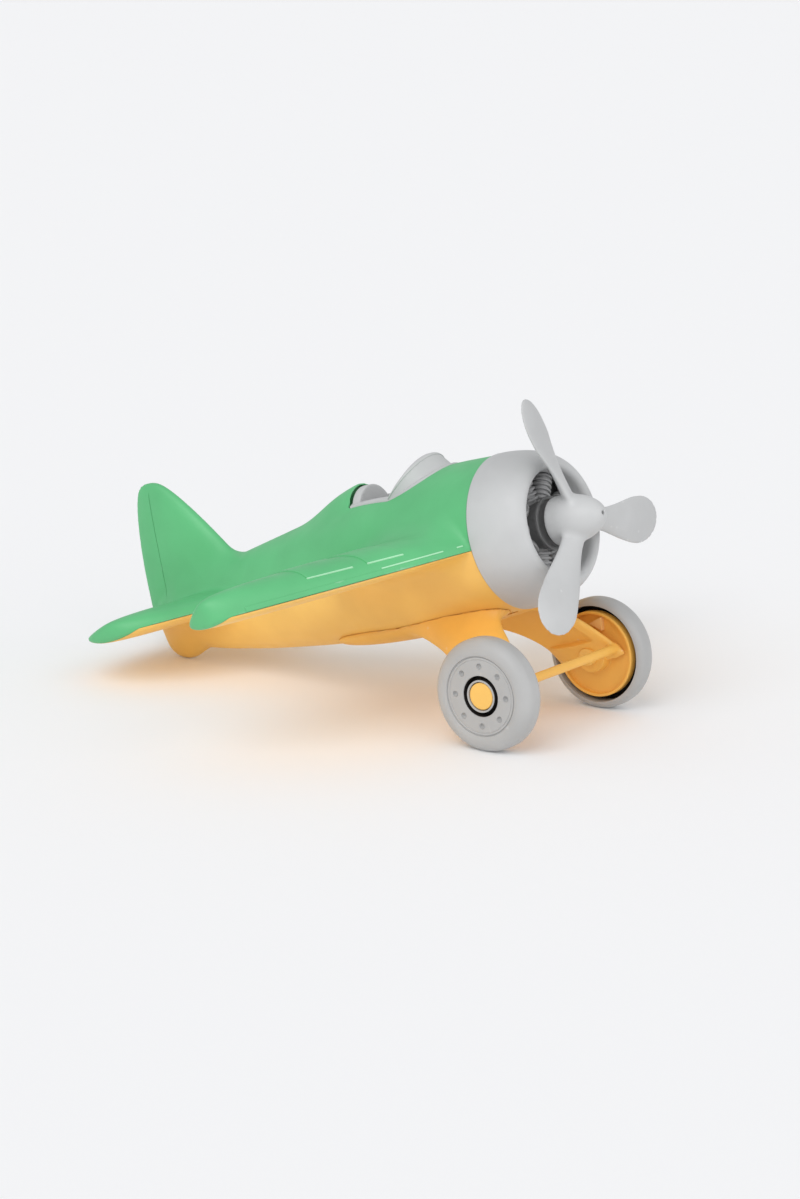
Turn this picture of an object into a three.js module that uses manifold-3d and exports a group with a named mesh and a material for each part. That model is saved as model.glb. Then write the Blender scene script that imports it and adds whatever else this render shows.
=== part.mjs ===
// Toy airplane: a low-wing, open-cockpit racer of moulded plastic that rolls on two wheels
// and a tail skid. Millimetres, +X towards the nose, +Y towards the left wing, +Z up.
// The origin is the middle of the underside of the whole toy's box, on the floor.
//
// Every piece of the airframe is drawn level, in a frame whose origin is the centre of the
// cowl's rear edge and whose X axis is the propeller's axis, and is then pitched nose-up.

import * as THREE from 'three';
import { mergeVertices } from 'three/addons/utils/BufferGeometryUtils.js';
import Module from 'manifold-3d';

const wasm = await Module();
wasm.setup();

// ---- driving dimensions -------------------------------------------------------------------

const PITCH = THREE.MathUtils.degToRad(17.6);   // nose-up attitude on wheels and skid
const GAP = 0.3;                                // between pieces that touch
const WALL = 2;                                 // moulded wall thickness

// The two shells meet in a surface that drops a little towards the tail and rises to the tips.
const PARTING_Z = -2.2;                         // its height at the cowl
const PARTING_SLOPE = 0.0125;
const DIHEDRAL = 0.009;

// Fuselage stations: [x, top, belly, half width]
const STATIONS = [
  [0, 27.9, -27.9, 27.9],
  [-22, 28.2, -29.2, 27.6],
  [-46, 26.0, -29.7, 26.2],
  [-72, 22.3, -28.9, 23.4],
  [-100, 17.4, -26.8, 18.6],
  [-130, 12.2, -23.4, 12.6],
  [-156, 6.5, -18.6, 7.4],
  [-175, 1.5, -10.5, 3.2],
];

const WING = {
  halfSpan: 116, nose: 10.8, noseSweep: 0.42, tail: -64, tailSweep: 0.07,
  crown: 10.2, keel: 2.8, tipRoundness: 3.2, tipFullness: 8,
};
const STABILISER = {
  halfSpan: 53, nose: -117, noseSweep: 0.38, tail: -177, tailSweep: 0,
  crown: 5.9, keel: 3.4, tipRoundness: 3, tipFullness: 6,
};
const FIN = {
  base: -4, top: 46.4, noseBase: -118.5, noseTop: -152, tailBase: -177, tailTop: -175.5,
  thickness: 4.6, tipRoundness: 3,
};
const SKID = { x: -163, z: -13, halfLength: 10, halfWidth: 5.2, depth: 9 };
const HEADREST = { x: -63.6, length: 44, halfWidth: 12, base: 15, top: 28.9, drop: 8 };

const COCKPIT = {
  front: -20, shoulder: -41, rear: -63.4, halfWidth: 16, rearHalfWidth: 11.2, corner: 3, floor: 7, lip: 0.5,
};
const SCREEN = {
  rimX: -28.5, rimZ: 34, footX: -41, footZ: 21.5, deckZ: 29, deckFall: 7.5, thickness: 1.2, root: 5,
};
const DOME = { x: -62.8, radius: 9.8, base: 18, top: 27.7, thickness: 3.8, bevel: 0.1 };

const COWL = {
  radius: 28.4, shoulder: 0.6, length: 21, lipRadius: 21.1, mouth: 19.2, throatX: 18.6, backX: 14.2,
  bore: 25.6, spigot: 25.5, spigotLength: 4,
};
const ENGINE = {
  plateX: 2.5, plateThickness: 3, plateRadius: 25.3, cylinders: 9, cylinderRadius: 3.9, cylinderX: 9.5,
  cylinderTop: 22.5, finDepth: 1, fins: 2, coreRadius: 8.6, coreFront: 17.2, ringRadius: 9.8,
};

const PROPELLER = {
  baseX: 19.5, tipX: 39.6, hubRadius: 9, hubSkirt: 5, bladePlane: 28, radius: 47.7, root: 4, blades: 3,
  phase: THREE.MathUtils.degToRad(-18.4), neck: 4.1, paddle: 8.6, rootPitch: 42, tipPitch: 15,
  rootThickness: 2.2, tipThickness: 0.9, tipLength: 11,
};
const SHAFT = { radius: 2, front: 33, rear: -6 };
const RETAINER = { radius: 5, front: -2, rear: -5 };

const AXLE = { x: -2.2, z: -52 };
const WHEEL = {
  radius: 20.5, backY: 31.5, width: 9.9, shoulder: 3, opening: 17.8, groove: 14.3, recess: 7.4,
  recessDepth: 5.2, collar: 5.9, cap: 5.2, capDepth: 3.6, bore: 3.6, web: 2.6,
  dimpleCircle: 10.8, dimpleRadius: 0.95, dimpleDepth: 1.2, dimples: 8,
};
const PIN = { head: 4.9, shank: 3.2, barb: 3.9, innerY: 25.6 };
const BACKING = {
  radius: 15.9, rimY: 31.3, faceY: 33.1, thickness: 1.5, rimWidth: 1.1, boss: 6.2, bossHeight: 5,
};
const SADDLE = { x: -43.5, z: -25.6, halfLength: 41, halfWidth: 15, halfHeight: 5.6, squareness: 5 };
const BAR = { x: 8.1, z: -51.2, radius: 1.7, halfLength: 31 };
const PEG = { x: [-16, -42], radius: 2.4, foot: -33, length: 12 };
const LEG_POCKET = { wall: 1.2, shift: 2.4, frontWall: 2.2, end: 0.8 };

// Undercarriage leg, from the belly (0) to the wheel (1): [y, z, front x, rear x, half thickness]
const LEG = [
  [6, -20, -8, -62, 5],
  [14, -29, -6, -43, 4.4],
  [21, -37, 1, -28, 3.6],
  [27, -45, 6, -20.5, 3],
  [31.2, -52.5, 10.6, -18, 2.6],
];

const PAINT = {
  green: { color: 0x6fc78c, roughness: 0.55, metalness: 0 },
  yellow: { color: 0xf5ae55, roughness: 0.5, metalness: 0 },
  grey: { color: 0xbfc1c2, roughness: 0.5, metalness: 0 },
};

// ---- solids -------------------------------------------------------------------------------

const partingHeight = (x, y) => PARTING_Z + PARTING_SLOPE * x + DIHEDRAL * Math.abs(y);
const superellipse = (t, n) => Math.max(0, 1 - Math.abs(t) ** n) ** (1 / n);
const bounded = (value, low, high) => Math.min(high, Math.max(low, value));

// A closed manifold solid from a closed geometry, whichever way its faces wind.
function solid(geometry) {
  geometry.deleteAttribute('normal');
  geometry.deleteAttribute('uv');
  const merged = mergeVertices(geometry, 1e-5);
  const points = merged.attributes.position.array;
  const index = merged.index.array;
  const corner = (i) => new THREE.Vector3().fromArray(points, 3 * index[i]);
  const kept = [];
  let volume = 0;
  for (let i = 0; i < index.length; i += 3) {
    const [a, b, c] = [index[i], index[i + 1], index[i + 2]];
    if (a !== b && b !== c && c !== a) {
      kept.push(a, b, c);
      volume += corner(i).dot(corner(i + 1).cross(corner(i + 2)));
    }
  }
  if (volume < 0) kept.reverse();
  return new wasm.Manifold(new wasm.Mesh({
    numProp: 3, vertProperties: new Float32Array(points), triVerts: new Uint32Array(kept),
  }));
}

function geometryOf(manifold) {
  const mesh = manifold.getMesh();
  const geometry = new THREE.BufferGeometry();
  geometry.setAttribute('position', new THREE.BufferAttribute(mesh.vertProperties, 3));
  geometry.setIndex(new THREE.BufferAttribute(mesh.triVerts, 1));
  geometry.computeVertexNormals();
  return geometry;
}

const union = (...solids) => solids.reduce((sum, next) => sum.add(next));
const cut = (body, ...tools) => tools.reduce((rest, tool) => rest.subtract(tool), body);

// Moves every vertex of a geometry to place(x, y, z).
function warp(geometry, place) {
  const position = geometry.attributes.position;
  for (let i = 0; i < position.count; i += 1) {
    position.setXYZ(i, ...place(position.getX(i), position.getY(i), position.getZ(i)));
  }
  return geometry;
}

// Turned pieces from [radius, distance along the axis] pairs.
function turned(profile, segments) {
  return new THREE.LatheGeometry(profile.map(([r, h]) => new THREE.Vector2(r, h)), segments);
}

const turnedOnX = (profile, segments) => turned(profile, segments).rotateZ(-Math.PI / 2);

function rod(radius, from, to, segments = 20) {
  return turnedOnX([[0, from], [radius, from], [radius, to], [0, to]], segments);
}

function box(fromX, toX, halfY, fromZ, toZ) {
  const geometry = new THREE.BoxGeometry(toX - fromX, 2 * halfY, toZ - fromZ);
  return geometry.translate((fromX + toX) / 2, 0, (fromZ + toZ) / 2);
}

// ---- airframe ----------------------------------------------------------------------------

const stationCurve = (column) => new THREE.SplineCurve(
  STATIONS.map((station) => new THREE.Vector2(station[0], station[column])));
const TOP = stationCurve(1);
const BELLY = stationCurve(2);
const SIDE = stationCurve(3);

function fuselage(grow, steps, around) {
  const profile = [[0, 0]];
  for (let i = 0; i <= steps; i += 1) profile.push([1, i / steps]);
  profile.push([0, 1]);
  return solid(warp(turned(profile, around), (side, along, up) => {
    const top = TOP.getPoint(along);
    const belly = BELLY.getPoint(along);
    const rise = (top.y - belly.y) / 2;
    const reach = SIDE.getPoint(along).y;
    return [top.x, side * (reach + grow), (top.y + belly.y) / 2 + up * (rise + grow)];
  }));
}

// A flat lens with rounded tips that spans Y: a wing or a stabiliser, smaller by the inset.
function wingBody(plan, inset, stations, around) {
  const profile = [];
  for (let i = 0; i <= stations; i += 1) {
    const along = -Math.cos((Math.PI * i) / stations);
    profile.push([superellipse(along, plan.tipRoundness), along]);
  }
  const halfSpan = plan.halfSpan - 2 * inset;
  return solid(warp(turned(profile, around), (chordwise, along, up) => {
    const out = Math.abs(along) * halfSpan;
    const nose = plan.nose - out * plan.noseSweep - 1.5 * inset;
    const tail = plan.tail - out * plan.tailSweep + 2 * inset;
    const x = (nose + tail) / 2 + (chordwise * (nose - tail)) / 2;
    const forward = chordwise / Math.max(1e-6, Math.hypot(chordwise, up));
    const crown = (plan.crown - inset) * (0.91 + 0.43 * forward);
    const keel = Math.max(0.6, plan.keel - inset);
    const level = Math.max(1e-6, superellipse(along, plan.tipRoundness));
    const rise = (up * superellipse(along, plan.tipFullness)) / level;
    return [x, along * halfSpan, partingHeight(x, out) + rise * (rise > 0 ? crown : keel)];
  }));
}

function finBody(inset, stations, around) {
  const profile = [[0, 0]];
  for (let i = 0; i < stations; i += 1) {
    const up = Math.sin((Math.PI * i) / (2 * stations));
    profile.push([superellipse(up, FIN.tipRoundness), up]);
  }
  profile.push([0, 1]);
  return solid(warp(turned(profile, around), (chordwise, up, side) => {
    const nose = THREE.MathUtils.lerp(FIN.noseBase, FIN.noseTop, up) - 1.5 * inset;
    const tail = THREE.MathUtils.lerp(FIN.tailBase, FIN.tailTop, up) + 1.5 * inset;
    const x = (nose + tail) / 2 + (chordwise * (nose - tail)) / 2;
    const thickness = (FIN.thickness - inset) * (1.05 + 0.3 * chordwise - 0.35 * up);
    return [x, side * thickness, THREE.MathUtils.lerp(FIN.base, FIN.top - inset, up)];
  }));
}

function headrestFairing() {
  const stations = 7;
  const profile = [[0, 0]];
  for (let i = 0; i < stations; i += 1) {
    const back = i / stations;
    profile.push([Math.cos((Math.PI / 2) * back) ** 0.9, back]);
  }
  profile.push([0, 1]);
  return solid(warp(turned(profile, 20), (side, back, up) => [
    HEADREST.x - back * HEADREST.length,
    side * HEADREST.halfWidth,
    HEADREST.base - back * HEADREST.drop + up * (HEADREST.top - HEADREST.base),
  ]));
}

function skidBump() {
  const ball = new THREE.SphereGeometry(1, 16, 10);
  ball.scale(SKID.halfLength, SKID.halfWidth, SKID.depth).translate(SKID.x, 0, SKID.z);
  return solid(ball);
}

// Everything on one side of the parting plane, behind the cowl.
function halfSpace(side) {
  const depth = 90;
  const slab = new THREE.BoxGeometry(400, 300, depth, 1, 2, 1);
  slab.translate(-200 - GAP, 0, side * (depth / 2 + GAP / 2));
  return solid(warp(slab, (x, y, z) => [x, y, z + partingHeight(x, y)]));
}

const airframe = union(
  fuselage(0, 14, 32), wingBody(WING, 0, 18, 18), wingBody(STABILISER, 0, 14, 14), finBody(0, 8, 16),
  headrestFairing(), skidBump());

const hollow = union(
  fuselage(-WALL, 9, 24), wingBody(WING, WALL, 10, 10), wingBody(STABILISER, WALL, 8, 8),
  solid(rod(STATIONS[0][1] - WALL, -3, 1, 28)));

// ---- cockpit ------------------------------------------------------------------------------

// The opening's outline seen from above, smaller by the inset.
function cockpitOutline(inset) {
  const width = COCKPIT.halfWidth - inset;
  const rear = COCKPIT.rear + inset;
  const back = COCKPIT.rearHalfWidth - inset;
  const corner = COCKPIT.corner - Math.min(inset, COCKPIT.corner / 2);
  const outline = new THREE.Shape();
  outline.moveTo(COCKPIT.shoulder, -width);
  outline.absellipse(COCKPIT.shoulder, 0, COCKPIT.front - COCKPIT.shoulder - inset, width,
    -Math.PI / 2, Math.PI / 2, false);
  outline.lineTo(rear + corner, back);
  outline.quadraticCurveTo(rear, back, rear, back - corner);
  outline.lineTo(rear, corner - back);
  outline.quadraticCurveTo(rear, -back, rear + corner, -back);
  outline.closePath();
  return outline;
}

function cockpitColumn(inset, from, to) {
  const shape = cockpitOutline(inset);
  const options = { depth: to - from, bevelEnabled: false, curveSegments: 8 };
  return solid(new THREE.ExtrudeGeometry(shape, options).translate(0, 0, from));
}

// The windscreen: a curved sheet ruled from the opening's front edge up to the arched rim.
function windscreen() {
  const sheet = new THREE.BoxGeometry(2, 1, 1, 18, 3, 1);
  return solid(warp(sheet, (across, up, depth) => {
    const turn = (across * Math.PI) / 2;
    const inward = 2 * GAP + (0.5 - depth) * SCREEN.thickness;
    const rise = up + 0.5;
    const width = COCKPIT.halfWidth - inward;
    const baseReach = COCKPIT.front - SCREEN.footX - inward;
    const rimReach = SCREEN.rimX - SCREEN.footX - inward;
    const reach = THREE.MathUtils.lerp(baseReach, rimReach, rise);
    const surface = SCREEN.deckZ - SCREEN.deckFall * Math.sin(turn) ** 2;
    const rimZ = SCREEN.footZ + (SCREEN.rimZ - SCREEN.footZ) * Math.cos(turn);
    const z = THREE.MathUtils.lerp(surface - SCREEN.root, rimZ, rise);
    return [SCREEN.footX + reach * Math.cos(turn), width * Math.sin(turn), z];
  }));
}

function headrestDome() {
  const profile = [[0, 0], [1, 0], [1, 1 - 3 * DOME.bevel], [1 - DOME.bevel, 1], [0, 1]];
  return solid(warp(turnedOnX(profile, 24), (x, y, z) => [
    DOME.x + x * DOME.thickness, y * DOME.radius, DOME.base + z * (DOME.top - DOME.base),
  ]));
}

function cockpitTub() {
  const aloft = 50;
  const outer = cockpitColumn(GAP, COCKPIT.floor - WALL, aloft).intersect(fuselage(COCKPIT.lip, 14, 32));
  const well = cockpitColumn(WALL, COCKPIT.floor, aloft + 1);
  const screen = windscreen().intersect(cockpitColumn(GAP, COCKPIT.floor, aloft));
  const dome = headrestDome().intersect(cockpitColumn(2 * GAP, COCKPIT.floor, aloft));
  const stem = solid(box(DOME.x, DOME.x + DOME.thickness, DOME.radius - 1, COCKPIT.floor - 0.5, DOME.base));
  return union(cut(outer, well), screen, dome, stem);
}

// ---- nose ---------------------------------------------------------------------------------

function cowlRing() {
  const lipArc = [];
  const lipSteps = 7;
  for (let i = 0; i <= lipSteps; i += 1) {
    const turn = (Math.PI / 2) * (i / lipSteps);
    lipArc.push([
      COWL.lipRadius + (COWL.radius - COWL.lipRadius) * Math.cos(turn),
      COWL.shoulder + (COWL.length - COWL.shoulder) * Math.sin(turn),
    ]);
  }
  const rollSteps = 3;
  for (let i = 1; i <= rollSteps; i += 1) {
    const turn = (Math.PI / 2) * (1 + i / rollSteps);
    lipArc.push([
      COWL.lipRadius + (COWL.lipRadius - COWL.mouth) * Math.cos(turn),
      COWL.throatX + (COWL.length - COWL.throatX) * Math.sin(turn),
    ]);
  }
  const rear = ENGINE.plateX - 0.5;
  return solid(turnedOnX([
    [COWL.spigot - WALL, -COWL.spigotLength], [COWL.spigot, -COWL.spigotLength], [COWL.spigot, 0],
    [COWL.radius, 0], ...lipArc,
    [COWL.mouth, COWL.backX], [COWL.bore - 1, COWL.backX], [COWL.bore, COWL.backX - 3],
    [COWL.bore, rear], [COWL.spigot - WALL, rear], [COWL.spigot - WALL, -COWL.spigotLength],
  ], 40));
}

function finnedCylinder() {
  const { fins, finDepth, cylinderRadius: radius, cylinderTop: top } = ENGINE;
  const foot = ENGINE.coreRadius - 1;
  const firstFin = foot + 2;
  const pitch = (top - firstFin - 1) / fins;
  const profile = [[0, foot]];
  for (let i = 0; i < fins; i += 1) {
    const level = firstFin + i * pitch;
    profile.push([radius - finDepth, level], [radius, level + pitch * 0.05],
      [radius, level + pitch * 0.5], [radius - finDepth, level + pitch * 0.7]);
  }
  profile.push([radius - 1.4 * finDepth, top], [0, top]);
  return turned(profile, 8);
}

function radialEngine() {
  const plateFront = ENGINE.plateX + ENGINE.plateThickness;
  let engine = solid(turnedOnX([
    [SHAFT.radius + GAP, ENGINE.plateX], [ENGINE.plateRadius, ENGINE.plateX],
    [ENGINE.plateRadius, plateFront], [ENGINE.coreRadius + 2, plateFront],
    [ENGINE.coreRadius, plateFront + 2], [ENGINE.coreRadius, ENGINE.coreFront - 1.2],
    [ENGINE.ringRadius, ENGINE.coreFront - 1], [ENGINE.ringRadius, ENGINE.coreFront],
    [SHAFT.radius + GAP, ENGINE.coreFront], [SHAFT.radius + GAP, ENGINE.plateX],
  ], 32));
  for (let i = 0; i < ENGINE.cylinders; i += 1) {
    const turn = PROPELLER.phase + (2 * Math.PI * i) / ENGINE.cylinders;
    const barrel = finnedCylinder().rotateX(Math.PI / 2).translate(ENGINE.cylinderX, 0, 0);
    engine = engine.add(solid(barrel.rotateX(turn)));
  }
  return engine;
}

// Drawn about its own centre, with the blades in the plane x = 0 and the first blade up.
function propeller() {
  const base = PROPELLER.baseX - PROPELLER.bladePlane;
  const tip = PROPELLER.tipX - PROPELLER.bladePlane;
  const shoulder = base + PROPELLER.hubSkirt;
  const nose = [];
  const steps = 7;
  for (let i = 0; i < steps; i += 1) {
    const forward = i / steps;
    nose.push([PROPELLER.hubRadius * Math.sqrt(1 - forward ** 1.7), shoulder + (tip - shoulder) * forward]);
  }
  let body = solid(turnedOnX([[0, base], [PROPELLER.hubRadius - 0.4, base], ...nose, [0, tip]], 32));
  const length = PROPELLER.radius - PROPELLER.root;
  const tipStart = 1 - PROPELLER.tipLength / length;
  const bladeProfile = [[0, 0]];
  const straightSteps = 5;
  const tipSteps = 5;
  for (let i = 0; i < straightSteps; i += 1) bladeProfile.push([1, (tipStart * i) / straightSteps]);
  for (let i = 0; i < tipSteps; i += 1) {
    const turn = (Math.PI * i) / (2 * tipSteps);
    bladeProfile.push([Math.cos(turn), tipStart + (1 - tipStart) * Math.sin(turn)]);
  }
  bladeProfile.push([0, 1]);
  for (let i = 0; i < PROPELLER.blades; i += 1) {
    const blade = warp(turned(bladeProfile, 14), (chordwise, out, thick) => {
      const width = THREE.MathUtils.lerp(PROPELLER.neck, PROPELLER.paddle,
        THREE.MathUtils.smoothstep(out, 0.15, 0.75));
      const pitch = THREE.MathUtils.degToRad(
        THREE.MathUtils.lerp(PROPELLER.rootPitch, PROPELLER.tipPitch, bounded(out * 1.6, 0, 1)));
      const across = chordwise * width;
      const through = thick * THREE.MathUtils.lerp(PROPELLER.rootThickness, PROPELLER.tipThickness, out);
      return [
        through * Math.cos(pitch) - across * Math.sin(pitch),
        across * Math.cos(pitch) + through * Math.sin(pitch),
        PROPELLER.root + out * length,
      ];
    });
    body = body.add(solid(blade.rotateX((-2 * Math.PI * i) / PROPELLER.blades)));
  }
  const bore = rod(SHAFT.radius + GAP, base - 1, SHAFT.front + GAP - PROPELLER.bladePlane, 16);
  return cut(body, solid(bore));
}

// ---- undercarriage ------------------------------------------------------------------------

const legCurve = (column) => new THREE.SplineCurve(
  LEG.map((station, i) => new THREE.Vector2(i, station[column])));
const LEG_CURVES = [0, 1, 2, 3, 4].map(legCurve);

// One leg, for the left wheel. The pocket that hollows its inner face is the same shape,
// thinner, shifted inwards.
function leg(thin, shift, frontWall, to = 1) {
  const steps = 7;
  const profile = [[0, 0]];
  for (let i = 0; i <= steps; i += 1) profile.push([1, (to * i) / steps]);
  profile.push([0, to]);
  const lean = Math.atan2(LEG[4][0] - LEG[0][0], LEG[0][1] - LEG[4][1]);
  return solid(warp(turned(profile, 16), (chordwise, down, thick) => {
    const [y, z, front, rear, half] = LEG_CURVES.map((curve) => curve.getPoint(down).y);
    const nose = front - frontWall;
    const middle = (nose + rear) / 2;
    const across = thick * (half - thin) - shift;
    return [
      middle + (chordwise * (nose - rear)) / 2,
      y + across * Math.cos(lean),
      z + across * Math.sin(lean),
    ];
  }));
}

// The pegs that join the gear to the belly, or the holes for them.
function pegs(grow) {
  const radius = PEG.radius + grow;
  const height = PEG.length + 2 * grow;
  const profile = [[0, -grow], [radius, -grow], [radius, height], [0, height]];
  return PEG.x.map((x) => solid(turned(profile, 16).rotateX(Math.PI / 2).translate(x, 0, PEG.foot)));
}

function backingDisc() {
  const back = BACKING.faceY + BACKING.thickness;
  const profile = [
    [0, BACKING.faceY], [BACKING.radius - BACKING.rimWidth, BACKING.faceY],
    [BACKING.radius - BACKING.rimWidth, BACKING.rimY], [BACKING.radius, BACKING.rimY],
    [BACKING.radius, back], [0, back],
  ];
  return solid(turned(profile, 32).translate(AXLE.x, 0, AXLE.z));
}

function axleCylinder(radius, from, to, segments = 24) {
  const profile = [[0, from], [radius, from], [radius, to], [0, to]];
  return solid(turned(profile, segments).translate(AXLE.x, 0, AXLE.z));
}

// The plate that joins the legs under the belly: a rounded oblong from above, an ellipse in section.
function saddle() {
  const power = SADDLE.squareness;
  const ball = new THREE.SphereGeometry(1, 28, 10).rotateX(Math.PI / 2);
  return solid(warp(ball, (x, y, z) => {
    const oblong = Math.max(1e-6, (Math.abs(x) ** power + Math.abs(y) ** power) ** (1 / power));
    const spread = Math.hypot(x, y) / oblong;
    return [
      SADDLE.x + x * spread * SADDLE.halfLength,
      y * spread * SADDLE.halfWidth,
      SADDLE.z + z * SADDLE.halfHeight,
    ];
  }));
}

const bossFaceY = BACKING.faceY - BACKING.bossHeight;

function crossBar() {
  const { radius, halfLength } = BAR;
  const profile = [[0, -halfLength], [radius, -halfLength], [radius, halfLength], [0, halfLength]];
  return solid(turned(profile, 14).translate(BAR.x, 0, BAR.z));
}

function landingGear() {
  const discMiddleY = BACKING.faceY + 0.5;
  const insideWheel = solid(box(-90, 30, discMiddleY, -90, 0));
  const bothSides = (body) => body.add(body.mirror([0, 1, 0]));
  const legs = bothSides(leg(0, 0, 0)).intersect(insideWheel);
  const pockets = bothSides(leg(LEG_POCKET.wall, LEG_POCKET.shift, LEG_POCKET.frontWall, LEG_POCKET.end));
  const wheelMounts = bothSides(backingDisc().add(axleCylinder(BACKING.boss, bossFaceY, discMiddleY)));
  const castings = cut(union(legs, saddle()), pockets, fuselage(GAP, 14, 32));
  const axleHole = axleCylinder(PIN.shank + GAP, -60, 60, 20);
  const barbRoom = axleCylinder(PIN.barb + GAP, -bossFaceY, bossFaceY, 20);
  return cut(union(castings, wheelMounts, crossBar(), ...pegs(0)), axleHole, barbRoom);
}

// ---- wheels -------------------------------------------------------------------------------

// Both are drawn for the left side, with the axle's centre at y = 0 in the middle of the toy.
function wheel() {
  const { radius, backY: back, width, shoulder, opening, groove, recess, collar, cap, bore } = WHEEL;
  const face = back + width;
  const floor = face - WHEEL.recessDepth;
  const seat = face - WHEEL.capDepth;
  const webBack = face - WHEEL.web;
  const arc = (middleY, from, to) => [0, 1, 2, 3].map((i) => {
    const turn = from + ((to - from) * i) / 3;
    return [radius - shoulder + shoulder * Math.cos(turn), middleY + shoulder * Math.sin(turn)];
  });
  const profile = [
    [opening, back + 0.4], [radius - shoulder - 0.1, back + 0.05],
    ...arc(back + shoulder, -Math.PI / 2.2, 0), ...arc(face - shoulder, 0, Math.PI / 2.2),
    [groove + 0.6, face - 0.3], [groove, face - 0.9], [groove - 0.5, face - 0.5],
    [recess, face - 0.5], [recess, floor], [collar, floor], [collar, face - 0.6],
    [cap, face - 0.6], [cap, seat], [bore, seat], [bore, back + 3.6],
    [recess + 1.2, back + 3.6], [recess + 1.6, webBack], [opening - 1.4, webBack],
    [opening, face - 4], [opening, back + 0.4],
  ];
  let body = solid(turned(profile, 36));
  const { dimples, dimpleRadius, dimpleDepth, dimpleCircle } = WHEEL;
  for (let i = 0; i < dimples; i += 1) {
    const turn = (2 * Math.PI * (i + 0.3)) / dimples;
    const cone = turned([[0, -dimpleDepth], [dimpleRadius, 0], [dimpleRadius, 1], [0, 1]], 8);
    cone.translate(dimpleCircle * Math.cos(turn), face - 0.5, dimpleCircle * Math.sin(turn));
    body = cut(body, solid(cone));
  }
  return body;
}

function axlePin() {
  const face = WHEEL.backY + WHEEL.width;
  const seat = face - WHEEL.capDepth + GAP;
  const barbY = bossFaceY - GAP;
  return solid(turned([
    [0, PIN.innerY], [PIN.shank - 0.6, PIN.innerY], [PIN.barb, bossFaceY - 1], [PIN.barb, barbY],
    [PIN.shank, barbY], [PIN.shank, seat], [PIN.head, seat],
    [PIN.head, face - 1.2], [PIN.head - 0.3, face - 0.9], [0, face - 0.9],
  ], 28));
}

// ---- assembly -----------------------------------------------------------------------------

function piece(name, body, paint) {
  const mesh = new THREE.Mesh(geometryOf(body), new THREE.MeshStandardMaterial(paint));
  mesh.name = name;
  return mesh;
}

const opening = cockpitColumn(0, COCKPIT.floor - WALL - GAP, 60);
const level = new THREE.Group();
level.add(
  piece('upper_shell', cut(airframe.intersect(halfSpace(1)), hollow, opening), PAINT.green),
  piece('lower_shell', cut(airframe.intersect(halfSpace(-1)), hollow, ...pegs(GAP)), PAINT.yellow),
  piece('cockpit', cockpitTub(), PAINT.grey),
  piece('landing_gear', landingGear(), PAINT.yellow),
  piece('cowl', cowlRing(), PAINT.grey),
  piece('radial_engine', radialEngine(), PAINT.grey),
  piece('propeller_shaft', solid(rod(SHAFT.radius, SHAFT.rear, SHAFT.front, 16)), PAINT.grey),
  piece('shaft_retainer', cut(solid(rod(RETAINER.radius, RETAINER.rear, RETAINER.front, 20)),
    solid(rod(SHAFT.radius + GAP, -20, 20, 16))), PAINT.grey),
);

const spinner = piece('propeller', propeller(), PAINT.grey);
spinner.position.x = PROPELLER.bladePlane;
spinner.rotation.x = -PROPELLER.phase;
level.add(spinner);

for (const [side, turn] of [['left', 0], ['right', Math.PI]]) {
  for (const [name, body, paint] of [['wheel', wheel(), PAINT.grey], ['axle_pin', axlePin(), PAINT.yellow]]) {
    const mesh = piece(`${side}_${name}`, body, paint);
    mesh.position.set(AXLE.x, 0, AXLE.z);
    mesh.rotation.z = turn;
    level.add(mesh);
  }
}

// Pitch the level airframe nose-up, then put the middle of its underside at the origin.
level.rotation.y = -PITCH;
const airplane = new THREE.Group();
airplane.name = 'toy_airplane';
airplane.add(level);
airplane.updateMatrixWorld(true);
const bounds = new THREE.Box3().setFromObject(airplane, true);
const middle = bounds.getCenter(new THREE.Vector3());
level.position.set(-middle.x, 0, -bounds.min.z);
airplane.updateMatrixWorld(true);

export default airplane;
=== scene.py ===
import itertools
import math

import bmesh
import bpy
import numpy as np
from mathutils import Matrix, Vector
from mathutils.bvhtree import BVHTree


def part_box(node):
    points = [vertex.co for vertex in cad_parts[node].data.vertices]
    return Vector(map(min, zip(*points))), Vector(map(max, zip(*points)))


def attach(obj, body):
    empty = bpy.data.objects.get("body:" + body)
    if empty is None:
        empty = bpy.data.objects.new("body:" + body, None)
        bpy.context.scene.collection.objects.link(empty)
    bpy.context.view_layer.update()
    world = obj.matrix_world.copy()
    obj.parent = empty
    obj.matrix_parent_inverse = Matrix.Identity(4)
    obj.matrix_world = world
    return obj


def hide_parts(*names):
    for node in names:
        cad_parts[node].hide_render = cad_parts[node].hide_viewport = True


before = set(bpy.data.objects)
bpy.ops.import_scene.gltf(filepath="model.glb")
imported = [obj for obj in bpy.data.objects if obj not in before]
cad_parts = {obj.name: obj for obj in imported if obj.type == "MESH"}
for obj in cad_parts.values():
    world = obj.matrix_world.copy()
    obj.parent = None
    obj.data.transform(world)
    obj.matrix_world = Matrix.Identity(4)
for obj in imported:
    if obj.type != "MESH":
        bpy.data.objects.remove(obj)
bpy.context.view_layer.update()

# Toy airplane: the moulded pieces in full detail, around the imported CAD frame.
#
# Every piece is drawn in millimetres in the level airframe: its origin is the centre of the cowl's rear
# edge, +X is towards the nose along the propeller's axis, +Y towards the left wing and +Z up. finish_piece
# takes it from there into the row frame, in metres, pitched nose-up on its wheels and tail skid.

# ---- driving dimensions, as in the CAD source ----

PITCH = math.radians(17.6)
MM = 0.001
SEAM = 0.09                      # half of the gap where two mouldings meet

PARTING_Z, PARTING_SLOPE, DIHEDRAL = -2.2, 0.0125, 0.009

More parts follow.
